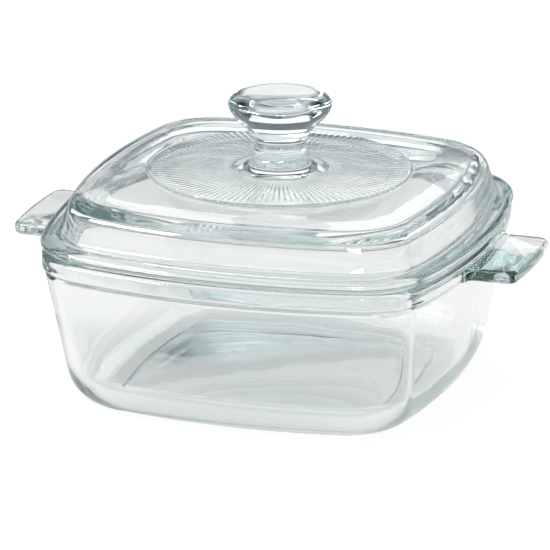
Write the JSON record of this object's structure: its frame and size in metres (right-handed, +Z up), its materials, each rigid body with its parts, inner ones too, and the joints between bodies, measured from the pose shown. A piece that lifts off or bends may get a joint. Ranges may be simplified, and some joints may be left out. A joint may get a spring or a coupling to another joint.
{
  "type": "covered casserole dish",
  "caption": "Square glass baking dish with tab handles and a lift-off domed glass cover with a round knob, for baking and serving.",
  "frame": {"origin": "on the table under the middle of the dish: the centre of the bounding box's bottom face", "axes": "+Z up, the way the cover lifts; +X from the middle of the dish towards one handle; +Y across it"},
  "size_m": [0.244, 0.2, 0.1361],
  "materials": {
    "dish_glass": "clear pressed glass, gloss",
    "cover_glass": "clear pressed glass, gloss"
  },
  "bodies": {
    "dish": {"dish": "dish_glass"},
    "cover": {"cover": "cover_glass"}
  },
  "joints": [
    {"name": "cover_lift", "type": "slide", "parent": "dish", "child": "cover", "axis": [0, 0, 1], "range_m": [0, 0.15]}
  ]
}
